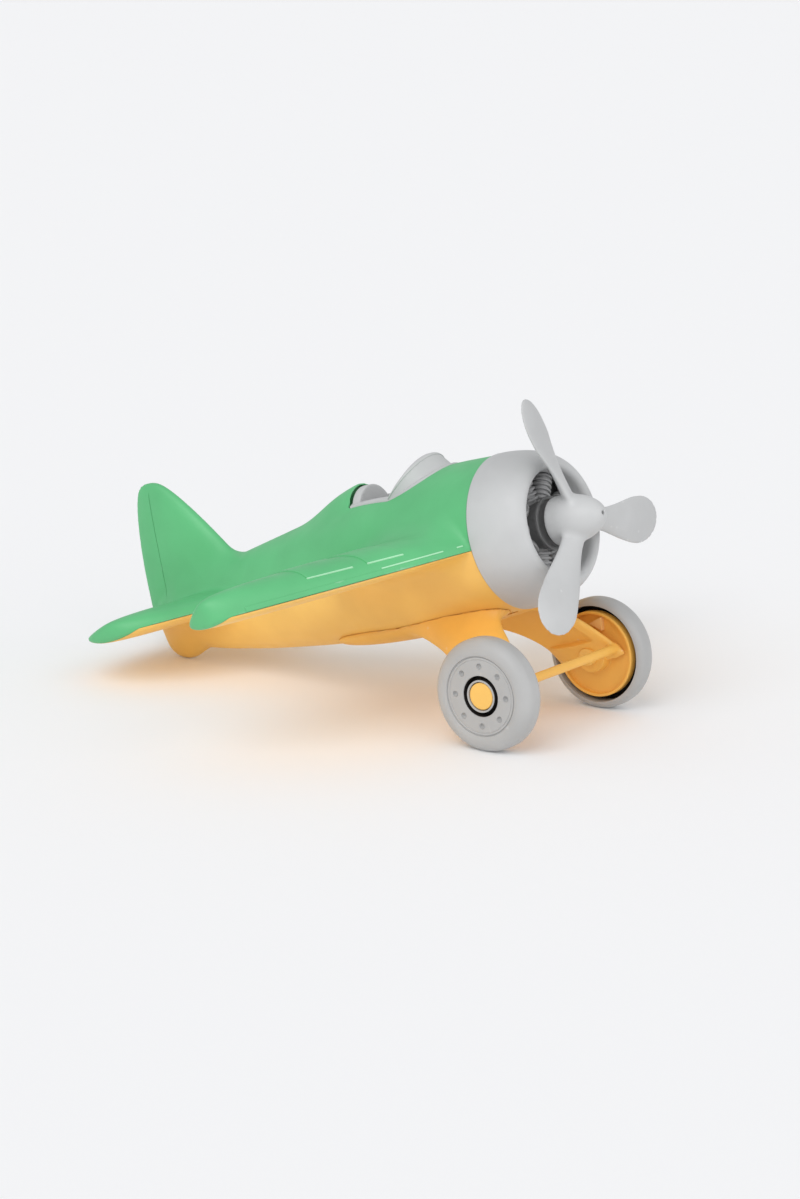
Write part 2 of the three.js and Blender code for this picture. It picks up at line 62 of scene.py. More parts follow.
# Fuselage stations: x, top, belly, half width
STATIONS = np.array([
    (0, 27.9, -27.9, 27.9),
    (-22, 28.2, -29.2, 27.6),
    (-46, 26.0, -29.7, 26.2),
    (-72, 22.3, -28.9, 23.4),
    (-100, 17.4, -26.8, 18.6),
    (-130, 12.2, -23.4, 12.6),
    (-156, 6.5, -18.6, 7.4),
    (-175, 1.5, -10.5, 3.2),
], float)
TAIL_ROUNDING = 6

WING = dict(half_span=116, nose=10.8, nose_sweep=0.42, tail=-64, tail_sweep=0.07,
            crown=10.2, keel=2.8, tip=3.2, tip_fullness=8)
STABILISER = dict(half_span=53, nose=-117, nose_sweep=0.38, tail=-177, tail_sweep=0,
                  crown=5.9, keel=3.4, tip=3, tip_fullness=6)
FIN = dict(base=-4, top=46.4, nose_base=-118.5, nose_top=-152, tail_base=-177, tail_top=-175.5,
           thickness=4.6, tip=3)
RUDDER = dict(top=(-163.2, 43.1), foot=(-165.6, 2.2), width=0.5, depth=0.45)
SKID = dict(x=-163, z=-13, half_length=10, half_width=5.2, half_height=9)
# Raised wing panels: from and to along the half span, behind the leading edge, and ahead of the trailing edge
PANELS = [(50, 63.2), (68.3, 84.5)]
PANEL = dict(behind=1.9, ahead=16, rise=0.45, edge=0.3)
# The leading edge's bands: from and to along the half span, height above the seam, breadth, and whether they
# take a paler green painted as a highlight
BANDS = [(29.5, 31.8, 2.1, 0.5, True), (37, 60, 2.1, 0.5, True), (60, 107, 0.05, 1.9, False)]
BAND_RISE = 0.22
# The seam drops towards the tips of wing and stabiliser, so that the green wraps around them
TIP_DROP = dict(height=3.2, reach=5, tail_x=-95)
HEADREST = dict(x=-63.6, length=44, half_width=12, base=15, top=28.9, drop=8)

COCKPIT = dict(front=-20, shoulder=-41, rear=-63.4, half_width=16, rear_half_width=11.2, corner=3, floor=7)
SCREEN = dict(rim_x=-28.5, rim_z=34, foot_x=-41, foot_z=21.5, thickness=1.2, base_z=29, base_fall=7.5, sunk=3)
DOME = dict(x=-62.8, radius=9.8, base=18, top=27.7, thickness=3.8, recess=3, gap=0.5)

COWL = dict(radius=28.4, shoulder=0.6, length=21, lip=21.1, mouth=19.2, throat=18.6, back_wall=14.2,
            bore=25.6, spigot=25.5)
ENGINE = dict(plate=2.5, plate_front=5.5, plate_radius=25.3, cylinders=9, radius=3.9, x=9.5, top=22.5,
              core=8.6, core_front=17.2, ring=9.8)
PROPELLER = dict(base=19.5, tip=39.6, hub=9, plane=28, radius=47.7, blades=3, phase=math.radians(-18.4),
                 neck=4.1, paddle=8.6, root_pitch=42, tip_pitch=15, tip_length=11, root=4,
                 root_thickness=2.2, tip_thickness=0.9)

AXLE = (-2.2, -52)
WHEEL = dict(radius=20.5, back=31.5, width=9.9, opening=17.8, groove=14.3, recess=7.4, collar=5.9,
             cap=5.2, bore=3.6, dimple_circle=10.8, dimples=8)
PIN = dict(head=4.9, shank=3.2, inner=25.6)
BACKING = dict(radius=15.9, rim=31.3, face=33.1, thickness=1.5, rim_width=1.1, boss=6.2)
SADDLE = dict(x=-43.5, z=-25.6, half_length=41, half_width=15, half_height=5.6, squareness=5)
BAR = dict(x=8.1, z=-51.2, radius=1.7, reach=30)

WHEEL_FACE = WHEEL["back"] + WHEEL["width"]
DISC_FACE = WHEEL_FACE - 0.55
HUB = (AXLE[0], 0, AXLE[1])

# Leg, from the belly to the wheel: y, z, front x, rear x, half thickness
LEG = np.array([
    (6, -20, -8, -62, 5),
    (14, -29, -6, -43, 4.4),
    (21, -37, 1, -28, 3.6),
    (27, -45, 6, -20.5, 3),
    (31.2, -52.5, 10.6, -18, 2.6),
], float)

# How wide the moulding's fillets are where two shapes meet
FILLET = dict(headrest=2.5, stabiliser=3, fin=6, skid=4, saddle=4, bar=1.2, blade=2)
# What is searched for each field's surface, and the size of the mesh's cells
AIRFRAME_GRID = dict(low=(-181, -118.8, -32), high=(4, 118.8, 50), cell=0.9)
STRUT_GRID = dict(low=(-87, -36, -58), high=(16, 36, -12), cell=0.5)
PROPELLER_GRID = dict(low=(-9.6, -48.9, -48.9), high=(12.6, 48.9, 48.9), cell=0.45)

GREEN, YELLOW, GREY = (0.115, 0.505, 0.205), (0.98, 0.575, 0.135), (0.55, 0.555, 0.555)
# PAINTED_HIGHLIGHT_GREEN: a paler green painted on the wing panels' front edges and the inner leading edge
# bands as a highlight
PAINTED_HIGHLIGHT_GREEN, SHADED_GEAR_YELLOW, WHEEL_GREY = (0.42, 0.79, 0.5), (0.96, 0.52, 0.1), (0.46, 0.46, 0.455)
# SHADED_CASE_GREY and SHADED_ENGINE_GREY are darker copies of GREY: painted shade for the engine deep inside
# the cowl, the crankcase darkest
SHADED_CASE_GREY, SHADED_ENGINE_GREY, PAINTED_SHADE = (0.17, 0.17, 0.17), (0.46, 0.46, 0.46), (0.018, 0.014, 0.012)
STEEL, PAPER, SKY = (0.5, 0.5, 0.5), (0.93, 0.93, 0.935), (0.97, 0.98, 1.0)

# Camera: degrees round from the toy's right side towards its nose, degrees up, millimetres of lens, and its
# place in metres from the ground between the wheels. Suns: strength, breadth in degrees, and where they stand
CAMERA = dict(azimuth=36.25, elevation=14.19, lens=131.7, distance=1.5793, left=0.0524, up=0.0460)
SUNS = dict(softbox=(1.15, 45, (0.15, -0.73, 0.7)), front_fill=(0.55, 60, (1, -0.1, 0.5)))
SKY_STRENGTH, PAPER_GLOW = 0.62, 0.04


# ---- from the level airframe to the row frame ----

def level_to_row():
    low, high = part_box("left_wheel")
    axle = (low + high) / 2
    turn = Matrix.Rotation(-PITCH, 4, "Y")
    origin = Vector((axle.x, 0, axle.z)) - turn @ (Vector((AXLE[0], 0, AXLE[1])) * MM)
    return Matrix.Translation(origin) @ turn @ Matrix.Scale(MM, 4)


TO_ROW = level_to_row()


def finish_piece(piece, body, slot, *nodes):
    """Takes a piece into the row frame, hangs it on the body that it rides on, and hides the CAD parts that
    it stands for.
    """
    piece.data.transform(TO_ROW)
    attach(piece, body)
    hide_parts(*nodes)


# ---- meshes ----

def new_object(name, data):
    """An object that shows a mesh, a light or a camera in the scene."""
    made = bpy.data.objects.new(name, data)
    bpy.context.scene.collection.objects.link(made)
    return made


def mesh_object(name, points, faces):
    mesh = bpy.data.meshes.new(name)
    mesh.from_pydata([tuple(p) for p in points], [], [tuple(f) for f in faces])
    mesh.validate()
    return new_object(name, mesh)


def built_object(name, built, *materials):
    """An object from a bmesh, which is then freed."""
    mesh = bpy.data.meshes.new(name)
    built.to_mesh(mesh)
    built.free()
    for material in materials:
        mesh.materials.append(material)
    return new_object(name, mesh)


def shade(piece, angle):
    """Smooth shading, with a sharp edge wherever the surface turns by more than the angle."""
    mesh = piece.data
    mesh.polygons.foreach_set("use_smooth", [True] * len(mesh.polygons))
    mesh.set_sharp_from_angle(angle=math.radians(angle))
    mesh.update()


def join(name, pieces, material):
    """One object from several closed bodies, each kept whole."""
    built = bmesh.new()
    for piece in pieces:
        built.from_mesh(piece.data)
        bpy.data.objects.remove(piece)
    return built_object(name, built, material)


def face_outwards(piece):
    """Turns every face's front outwards."""
    built = bmesh.new()
    built.from_mesh(piece.data)
    bmesh.ops.recalc_face_normals(built, faces=built.faces)
    built.to_mesh(piece.data)
    built.free()
    return piece


def cut(piece, tools):
    """Cuts the tools out of the piece, and removes them."""
    for tool in tools:
        modifier = piece.modifiers.new("cut", "BOOLEAN")
        modifier.object, modifier.operation, modifier.solver = tool, "DIFFERENCE", "MANIFOLD"
    evaluated = piece.evaluated_get(bpy.context.evaluated_depsgraph_get())
    mesh = bpy.data.meshes.new_from_object(evaluated)
    piece.modifiers.clear()
    piece.data = mesh
    for tool in tools:
        bpy.data.objects.remove(tool)
    return piece


def loft(name, rings):
    """A closed tube through rings of equally many points, its ends capped by a fan."""
    points = [p for ring in rings for p in ring]
    size = len(rings[0])
    faces = []
    for i in range(len(rings) - 1):
        for j in range(size):
            a, b = i * size + j, i * size + (j + 1) % size
            faces.append((a, b, b + size, a + size))
    for start, ring in ((0, rings[0]), ((len(rings) - 1) * size, rings[-1])):
        points.append(np.mean(ring, axis=0))
        faces += [(start + j, start + (j + 1) % size, len(points) - 1) for j in range(size)]
    return face_outwards(mesh_object(name, points, faces))


def lathe(name, profile, axis="X", segments=96, centre=(0, 0, 0)):
    """A turned body from (radius, distance along the axis) pairs. The profile ends on the axis or closes."""
    closed = np.allclose(profile[0], profile[-1])
    stations = profile[:-1] if closed else profile
    turns = np.linspace(0, 2 * math.pi, segments, endpoint=False)
    points, rows = [], []
    for radius, along in stations:
        count = 1 if radius < 1e-6 else segments
        rows.append(list(range(len(points), len(points) + count)))
        for turn in turns[:count]:
            ring = (along, radius * math.cos(turn), radius * math.sin(turn))
            points.append(ring if axis == "X" else (ring[2], ring[0], ring[1]))
    faces = []
    pairs = list(zip(rows, rows[1:] + rows[:1])) if closed else list(zip(rows, rows[1:]))
    for low, high in pairs:
        for j in range(segments):
            k = (j + 1) % segments
            corners = [low[j % len(low)], low[k % len(low)], high[k % len(high)], high[j % len(high)]]
            distinct = list(dict.fromkeys(corners))
            if len(distinct) > 2:
                faces.append(distinct)
    return face_outwards(mesh_object(name, np.array(points) + np.array(centre), faces))


def filleted(profile, steps=4):
    """A polyline of (a, b) or (a, b, radius) points, with each corner that has a radius rounded."""
    rounded = []
    for i, corner in enumerate(profile):
        here = np.array(corner[:2], float)
        radius = corner[2] if len(corner) > 2 else 0
        if not radius:
            rounded.append(tuple(here))
            continue
        before, after = (np.array(profile[k % len(profile)][:2], float) - here for k in (i - 1, i + 1))
        reach = min(radius, 0.45 * np.linalg.norm(before), 0.45 * np.linalg.norm(after))
        start = here + before / np.linalg.norm(before) * reach
        end = here + after / np.linalg.norm(after) * reach
        for t in np.linspace(0, 1, steps + 1):
            rounded.append(tuple((1 - t) ** 2 * start + 2 * t * (1 - t) * here + t * t * end))
    return rounded


def arc(centre, radii, start, end, steps):
    """Points (a, b) on an elliptical arc, from one angle to another in degrees."""
    turns = np.radians(np.linspace(start, end, steps + 1))
    return [(centre[0] + radii[0] * math.cos(t), centre[1] + radii[1] * math.sin(t)) for t in turns]


# ---- implicit shapes ----
# A field is a function of x, y and z: about the distance to a shape's surface, and negative inside it.
# Fields blend into each other with a fillet.

def lerp(a, b, t):
    return a + (b - a) * t


def smoothstep(value, low, high):
    t = np.clip((value - low) / (high - low), 0, 1)
    return t * t * (3 - 2 * t)


def superellipse(t, power):
    return np.maximum(0, 1 - np.abs(t) ** power) ** (1 / power)


def narrowing(t, level, power):
    """How fast a superellipse narrows at t, held back near its tip."""
    return t ** (power - 1) * np.maximum(level, 0.3) ** (1 - power)


def blend(a, b, fillet):
    overlap = np.maximum(fillet - np.abs(a - b), 0) / fillet
    return np.minimum(a, b) - overlap * overlap * fillet / 4


def carve(a, b, fillet):
    """Shape a without shape b, its new edges rounded."""
    return -blend(-a, b, fillet)


def parting_height(x, y):
    return PARTING_Z + PARTING_SLOPE * x + DIHEDRAL * np.abs(y)


def spline_table(stations, samples=12):
    """More rows along a uniform Catmull-Rom spline through the given ones."""
    rows = []
    last = len(stations) - 1
    for i in range(last):
        p0, p1, p2, p3 = (stations[k] for k in (max(0, i - 1), i, i + 1, min(last, i + 2)))
        v1, v2 = (p2 - p0) / 2, (p3 - p1) / 2
        for t in np.linspace(0, 1, samples, endpoint=False):
            rows.append((2 * p1 - 2 * p2 + v1 + v2) * t ** 3 + (3 * p2 - 3 * p1 - 2 * v1 - v2) * t ** 2
                        + v1 * t + p1)
    rows.append(stations[last])
    return np.array(rows)


HULL = spline_table(STATIONS)[::-1]


def hull_section(x):
    """Top, belly and half width of the fuselage at x."""
    return tuple(np.interp(x, HULL[:, 0], HULL[:, column]) for column in (1, 2, 3))


def ellipse_distance(a, b, half_a, half_b, level=1.0):
    """About the distance from (a, b) to an ellipse of those half axes, scaled by level."""
    u, v = a / half_a, b / half_b
    reach = np.maximum(np.hypot(u, v), 1e-6)
    return (reach - level) * reach / np.maximum(np.hypot(u / half_a, v / half_b), 1e-6)


def fuselage_field(x, y, z):
    top, belly, side = hull_section(x)
    end = STATIONS[-1, 0]
    share = np.clip((end + TAIL_ROUNDING - x) / TAIL_ROUNDING, 0, 1)
    ending = np.sqrt(np.maximum(1 - share ** 2, 1e-4))
    rise = (top - belly) / 2
    hull = ellipse_distance(y, z - (top + belly) / 2, side * ending, rise * ending)
    return np.maximum(hull, end - x)


def wing_field(plan, x, y, z):
    out = np.abs(y)
    along = np.clip(out / plan["half_span"], 0, 1)
    level = superellipse(along, plan["tip"])
    fullness = np.maximum(superellipse(along, plan["tip_fullness"]), 1e-3) / np.maximum(level, 1e-3)
    nose = plan["nose"] - out * plan["nose_sweep"]
    tail = plan["tail"] - out * plan["tail_sweep"]
    half_chord = (nose - tail) / 2
    chordwise = (x - (nose + tail) / 2) / half_chord
    rise = (z - parting_height(x, out)) / fullness
    thickness = plan["crown"]
    for _ in range(3):
        forward = chordwise / np.maximum(np.hypot(chordwise, rise / thickness), 1e-6)
        thickness = plan["crown"] * (0.91 + 0.43 * forward)
    thickness = np.where(rise > 0, thickness, plan["keel"])
    up = rise / thickness
    reach = np.maximum(np.hypot(chordwise, up), 1e-6)
    slope = np.hypot(np.hypot(chordwise / half_chord, up / thickness) / reach,
                     narrowing(along, level, plan["tip"]) / plan["half_span"])
    return np.maximum((reach - level) / slope, out - plan["half_span"])


def fin_field(x, y, z):
    up = np.clip((z - FIN["base"]) / (FIN["top"] - FIN["base"]), 0, 1.2)
    nose = lerp(FIN["nose_base"], FIN["nose_top"], up)
    tail = lerp(FIN["tail_base"], FIN["tail_top"], up)
    half_chord = (nose - tail) / 2
    chordwise = (x - (nose + tail) / 2) / half_chord
    thickness = FIN["thickness"] * (1.05 + 0.3 * np.clip(chordwise, -1, 1) - 0.35 * up)
    level = superellipse(np.minimum(up, 1), FIN["tip"])
    across = y / thickness
    reach = np.maximum(np.hypot(chordwise, across), 1e-6)
    height = FIN["top"] - FIN["base"]
    slope = np.hypot(np.hypot(chordwise / half_chord, across / thickness) / reach,
                     narrowing(np.minimum(up, 1), level, FIN["tip"]) / height)
    return np.maximum((reach - level) / slope, np.maximum(FIN["base"] - z, z - FIN["top"]))


def headrest_field(x, y, z):
    back = np.clip((HEADREST["x"] - x) / HEADREST["length"], 0, 1)
    level = np.cos(math.pi / 2 * back) ** 0.9
    height = HEADREST["top"] - HEADREST["base"]
    middle = HEADREST["base"] - HEADREST["drop"] * back
    side = ellipse_distance(y, z - middle, HEADREST["half_width"], height, level)
    return carve(side, HEADREST["x"] - x, 0.8)


def skid_field(x, y, z):
    u = (x - SKID["x"]) / SKID["half_length"]
    v = y / SKID["half_width"]
    w = (z - SKID["z"]) / SKID["half_height"]
    reach = np.maximum(np.sqrt(u * u + v * v + w * w), 1e-6)
    slope = np.sqrt((u / SKID["half_length"]) ** 2 + (v / SKID["half_width"]) ** 2
                    + (w / SKID["half_height"]) ** 2)
    return (reach - 1) * reach / np.maximum(slope, 1e-6)


def wing_fillet(x):
    """The wing root's fillet: large behind the nose, small at the cowl and towards the trailing edge."""
    least, most = 0.8, 11
    return least + (most - least) * smoothstep(-x, -1, 15) * (1 - 0.75 * smoothstep(-x, 28, 60))


def tail_fillet(x, size):
    """A fillet that fades out where the tail's surfaces end."""
    least = 0.7
    return size - (size - least) * smoothstep(-x, 158, 172)


def airframe_field(x, y, z):
    body = blend(fuselage_field(x, y, z), headrest_field(x, y, z), FILLET["headrest"])
    body = blend(body, wing_field(WING, x, y, z), wing_fillet(x))
    body = blend(body, wing_field(STABILISER, x, y, z), tail_fillet(x, FILLET["stabiliser"]))
    body = blend(body, fin_field(x, y, z), tail_fillet(x, FILLET["fin"]))
    return blend(body, skid_field(x, y, z), FILLET["skid"])


def settle(field, points, cell):
    """Moves points onto the field's surface."""
    probe = cell * 0.1
    for _ in range(3):
        value = field(*points.T)
        slope = np.empty_like(points)
        for axis in range(3):
            step = np.zeros(3)
            step[axis] = probe
            slope[:, axis] = (field(*(points + step).T) - field(*(points - step).T)) / (2 * probe)
        size = np.maximum((slope ** 2).sum(1), 1e-6)
        move = slope * (value / size)[:, None]
        length = np.maximum(np.linalg.norm(move, axis=1), 1e-9)
        points = points - move * np.minimum(1, 0.5 * cell / length)[:, None]
    return points


def surface_net(name, field, low, high, cell):
    """The field's surface as a mesh of quads, one vertex in each cell that it passes through."""
    axes = [np.arange(a, b + cell, cell) for a, b in zip(low, high)]
    across, up = np.meshgrid(axes[1], axes[2], indexing="ij")
    values = np.stack([field(np.full_like(across, x), across, up) for x in axes[0]])
    inside = values < 0
    spans = [(slice(0, -1), slice(1, None))] * 3
    corners = sum(inside[pick].astype(np.int8) for pick in itertools.product(*spans))
    mixed = (corners > 0) & (corners < 8)
    cells = np.argwhere(mixed)
    number = np.full(mixed.shape, -1)
    number[mixed] = np.arange(len(cells))
    total, hits = np.zeros((len(cells), 3)), np.zeros(len(cells))
    faces = []
    for axis in range(3):
        unit = np.eye(3, dtype=int)[axis]
        b_unit, c_unit = (np.eye(3, dtype=int)[(axis + k) % 3] for k in (1, 2))
        for b, c in itertools.product((0, 1), repeat=2):
            start = cells + b * b_unit + c * c_unit
            v0, v1 = values[tuple(start.T)], values[tuple((start + unit).T)]
            crosses = (v0 < 0) != (v1 < 0)
            share = np.where(crosses, v0 / np.where(crosses, v0 - v1, 1), 0)
            total[crosses] += (start + share[:, None] * unit)[crosses]
            hits += crosses
        near = tuple(slice(0, -1) if k == axis else slice(1, -1) for k in range(3))
        far = tuple(slice(1, None) if k == axis else slice(1, -1) for k in range(3))
        edges = np.argwhere(inside[near] != inside[far]) + b_unit + c_unit
        around = [number[tuple((edges - o).T)] for o in (b_unit + c_unit, c_unit, 0 * unit, b_unit)]
        quads = np.stack(around, 1)
        outwards = inside[tuple(edges.T)]
        faces.append(np.where(outwards[:, None], quads, quads[:, ::-1]))
    points = np.array(low) + cell * total / hits[:, None]
    points = settle(field, points, cell)
    return mesh_object(name, points, np.concatenate(faces).tolist())


# ---- shells ----

def tip_drop(x, y):
    """How far the seam drops near the tips of the wing and the stabiliser."""
    half_span = np.where(x < TIP_DROP["tail_x"], STABILISER["half_span"], WING["half_span"])
    return TIP_DROP["height"] * smoothstep(np.abs(y), half_span - TIP_DROP["reach"], half_span)


def trimmed(name, source, planes):
    """What lies on the positive side of every plane, its cuts capped. The planes are bent upwards with the
    distance from the middle, and down again at the tips."""
    built = bmesh.new()
    built.from_mesh(source.data)

    def bend(sign):
        for vertex in built.verts:
            vertex.co.z += sign * (DIHEDRAL * abs(vertex.co.y) - tip_drop(vertex.co.x, vertex.co.y))

    bend(-1)
    for point, normal in planes:
        geometry = built.verts[:] + built.edges[:] + built.faces[:]
        bmesh.ops.bisect_plane(built, geom=geometry, dist=1e-5, plane_co=point, plane_no=normal,
                               clear_inner=True)
        edges = [e for e in built.edges if e.is_boundary]
        bmesh.ops.triangle_fill(built, edges=edges, use_beauty=True, use_dissolve=False)
    bmesh.ops.recalc_face_normals(built, faces=built.faces)
    bend(1)
    return built_object(name, built)


def cockpit_outline(inset):
    """The cockpit's outline from above, as x and y pairs, anticlockwise from its right shoulder."""
    width = COCKPIT["half_width"] - inset
    rear = COCKPIT["rear"] + inset
    back = COCKPIT["rear_half_width"] - inset
    corner = COCKPIT["corner"] - min(inset, COCKPIT["corner"] / 2)
    shoulder = COCKPIT["shoulder"]
    front = arc((shoulder, 0), (COCKPIT["front"] - shoulder - inset, width), -90, 90, 32)
    sides = [tuple(lerp(np.array((shoulder, width)), np.array((rear + corner, back)), t))
             for t in (0.25, 0.5, 0.75)]
    left = filleted([(rear + corner + 0.01, back), (rear, back, corner), (rear, 0)], 6)[1:-1]
    left = sides + [(rear + corner, back)] + left
    across = [(rear, y) for y in np.linspace(back - corner, corner - back, 9)[1:-1]]
    right = [(x, -y) for x, y in reversed(left)]
    return front + left + across + right


def rudder_groove():
    """Two thin slabs that score the fin's sides along the rudder's hinge line."""
    slabs = []
    top, foot = np.array(RUDDER["top"]), np.array(RUDDER["foot"])
    half = RUDDER["width"] / 2
    for side in (-1, 1):
        rings = []
        for t in np.linspace(0, 1, 25):
            x, z = lerp(foot, top, t)
            low, high = 0.0, 12.0
            for _ in range(30):
                middle = (low + high) / 2
                inside = airframe_field(np.array(x), np.array(middle), np.array(z)) < 0
                low, high = (middle, high) if inside else (low, middle)
            depth = RUDDER["depth"] * min(1, 12 * t, 12 * (1 - t)) + 0.02
            outer, inner = side * (low + 1), side * (low - depth)
            rings.append([(x - half, outer, z), (x + half, outer, z),
                          (x + 0.3 * half, inner, z), (x - 0.3 * half, inner, z)])
        slabs.append(loft("rudder_groove", rings))
    return slabs


def raised_patch(name, surface, place, across, along, rise, edge, worn=(1, 2)):
    """A closed patch on the surface, as high as rise and as large as across and along, its borders rounded.
    place(u, v) gives a ray's origin and direction towards the surface. paled is the share of its breadth
    and the number of rows behind its front edge that take the second material, a paler colour painted there
    as a highlight."""
    def spaced(length):
        border = [0, 0.3 * edge, edge, 2 * edge]
        inner = np.linspace(3 * edge, length - 3 * edge, max(3, int(length)))
        return np.concatenate([border, inner, length - np.array(border[::-1])]) / length

    def profile(share, length):
        distance = np.minimum(share, 1 - share) * length / edge
        return math.sqrt(max(0, 1 - (1 - min(1, distance)) ** 2))

    us, vs = spaced(across), spaced(along)
    top, under = [], []
    for u in us:
        for v in vs:
            origin, direction = place(u, v)
            hit, normal, _, _ = surface.ray_cast(origin, direction)
            height = rise * min(profile(u, across), profile(v, along))
            top.append(hit + normal * (height + 0.01))
            under.append(hit - normal * 0.4)
    rows, columns, count = len(us), len(vs), len(top)
    faces = []
    for i, j in itertools.product(range(rows - 1), range(columns - 1)):
        a = i * columns + j
        quad = (a, a + 1, a + columns + 1, a + columns)
        faces += [quad, tuple(k + count for k in reversed(quad))]
    border = [i * columns for i in range(rows)] + [(rows - 1) * columns + j for j in range(1, columns)]
    border += [i * columns + columns - 1 for i in range(rows - 2, -1, -1)] + list(range(columns - 2, 0, -1))
    for a, b in zip(border, border[1:] + border[:1]):
        faces.append((a, b, b + count, a + count))
    patch = face_outwards(mesh_object(name, top + under, faces))
    for i in range(int(worn[0] * (rows - 1))):
        for j in range(min(worn[1], columns - 1)):
            patch.data.polygons[2 * (i * (columns - 1) + j)].material_index = 1
    return patch


def wing_nose(out):
    """The wing's leading edge at a distance from the middle."""
    return WING["nose"] - WING["nose_sweep"] * out


def wing_panels(surface, side):
    """The two raised panels on one wing's upper side, with a highlight painted paler along their front edges.
    """
    patches = []
    for near, far in PANELS:
        def place(u, v, near=near, far=far):
            out = lerp(near, far, u)
            nose = wing_nose(out)
            tail = WING["tail"] - WING["tail_sweep"] * out
            narrowed = (nose - tail) / 2 * (1 - superellipse(out / WING["half_span"], WING["tip"]))
            front = nose - narrowed - PANEL["behind"]
            rear = tail + PANEL["ahead"]
            return Vector((lerp(front, rear, v), side * out, 60)), Vector((0, 0, -1))
        chord = wing_nose(near) - WING["tail"] - PANEL["behind"] - PANEL["ahead"]
        patches.append(raised_patch("wing_panel", surface, place, far - near, chord, PANEL["rise"],
                                    PANEL["edge"]))
    return patches


def leading_edge_bands(surface, side):
    """The narrow bands that stand out along one wing's leading edge, just above the seam; the inner ones take
    a highlight painted paler.
    """
    patches = []
    for near, far, height, breadth, worn in BANDS:
        def place(u, v, near=near, far=far, height=height, breadth=breadth):
            out = lerp(near, far, u)
            nose = wing_nose(out)
            bottom = parting_height(nose, out) - tip_drop(nose, out) + SEAM + height
            return Vector((nose + 15, side * out, bottom + v * breadth)), Vector((-1, 0, 0))
        patches.append(raised_patch("leading_edge_band", surface, place, far - near, breadth, BAND_RISE,
                                    breadth / 8, (int(worn), 9)))
    return patches


def headrest_recess():
    """The hollow in the fairing's front face that the headrest's back stands in."""
    radius = DOME["radius"] + DOME["gap"]
    rise = DOME["top"] - DOME["base"] + DOME["gap"]
    turns = np.radians(np.linspace(-10, 190, 61))
    outline = [(radius * math.cos(t), DOME["base"] + rise * math.sin(t)) for t in turns]
    rear, front = HEADREST["x"] - DOME["recess"], DOME["x"]
    return loft("headrest_recess", [[(x, y, z) for y, z in outline] for x in (rear, front)])


def make_shells(green, yellow, worn_green):
    """The airframe's moulding, split along the seam, with the raised details on its upper half."""
    whole = surface_net("airframe", airframe_field, **AIRFRAME_GRID)
    nose = ((-0.35, 0, 0), (-1, 0, 0))
    along = Vector((-PARTING_SLOPE, 0, 1)).normalized()
    up = ((0, 0, PARTING_Z + SEAM), along)
    down = ((0, 0, PARTING_Z - SEAM), -along)
    upper = trimmed("upper_shell_moulding", whole, [nose, up])
    lower = trimmed("lower_shell_moulding", whole, [nose, down])
    bpy.data.objects.remove(whole)
    outline = cockpit_outline(0)
    opening = loft("cockpit_opening", [[(x, y, z) for x, y in outline] for z in (3, 60)])
    cut(upper, [opening, headrest_recess()] + rudder_groove())
    surface = BVHTree.FromObject(upper, bpy.context.evaluated_depsgraph_get())
    patches = []
    for side in (-1, 1):
        patches += wing_panels(surface, side) + leading_edge_bands(surface, side)
    upper = join("upper_shell_moulding", [upper] + patches, green)
    # The second material is the paler green painted along edges as a highlight
    upper.data.materials.append(worn_green)
    lower.data.materials.append(yellow)
    shade(upper, 40)
    shade(lower, 40)
    finish_piece(upper, "airframe", "green_shell", "upper_shell")
    finish_piece(lower, "airframe", "yellow_shell", "lower_shell")


# ---- cockpit ----

def deck_height(x, y):
    """The fuselage's upper surface."""
    top, belly, side = hull_section(x)
    return (top + belly) / 2 + (top - belly) / 2 * math.sqrt(max(0, 1 - (y / side) ** 2))


def cockpit_tub():
    """The lip that lines the opening, with the well's walls and floor below it."""
    rows = []
    lip = [(0.3, -3.0), (0.3, 0.25), (0.45, 0.45), (0.8, 0.52), (1.4, 0.5), (1.75, 0.35), (1.9, 0.05),
           (1.95, -1.5)]
    for inset, height in lip:
        rows.append([(x, y, deck_height(x, y) + height) for x, y in cockpit_outline(inset)])
    floor = COCKPIT["floor"]
    for inset, z in ((1.95, floor + 5), (1.95, floor + 1.5), (2.4, floor + 0.4), (3.4, floor), (8, floor)):
        rows.append([(x, y, z) for x, y in cockpit_outline(inset)])
    under = [(x, y, floor - 2) for x, y in cockpit_outline(0.3)]
    return loft("cockpit_tub", [under] + rows)


def windscreen():
    """A curved sheet from the opening's front edge up to its arched rim, with a raised band along the rim."""
    columns, levels = 49, (0, 0.15, 0.3, 0.45, 0.6, 0.75, 0.85, 0.885, 0.9, 0.93, 0.96, 0.985, 1)
    band = (0, 0, 0, 0, 0, 0, 0, 0.04, 0.3, 0.36, 0.34, 0.24, 0)

    def sheet_point(turn, rise, inward):
        width = COCKPIT["half_width"] - inward
        base_reach = COCKPIT["front"] - SCREEN["foot_x"] - inward
        rim_reach = SCREEN["rim_x"] - SCREEN["foot_x"] - inward
        reach = lerp(base_reach, rim_reach, rise)
        rim_z = SCREEN["foot_z"] + (SCREEN["rim_z"] - SCREEN["foot_z"]) * math.cos(turn)
        base_z = SCREEN["base_z"] - SCREEN["base_fall"] * math.sin(turn) ** 2 - SCREEN["sunk"]
        return (SCREEN["foot_x"] + reach * math.cos(turn), width * math.sin(turn), lerp(base_z, rim_z, rise))

    rings = []
    for turn in np.radians(np.linspace(-88, 88, columns)):
        outside = [sheet_point(turn, rise, 0.35 - proud) for rise, proud in zip(levels, band)]
        inside = [sheet_point(turn, rise, 0.35 + SCREEN["thickness"]) for rise in reversed(levels)]
        rings.append(outside + inside)
    return loft("windscreen", rings)


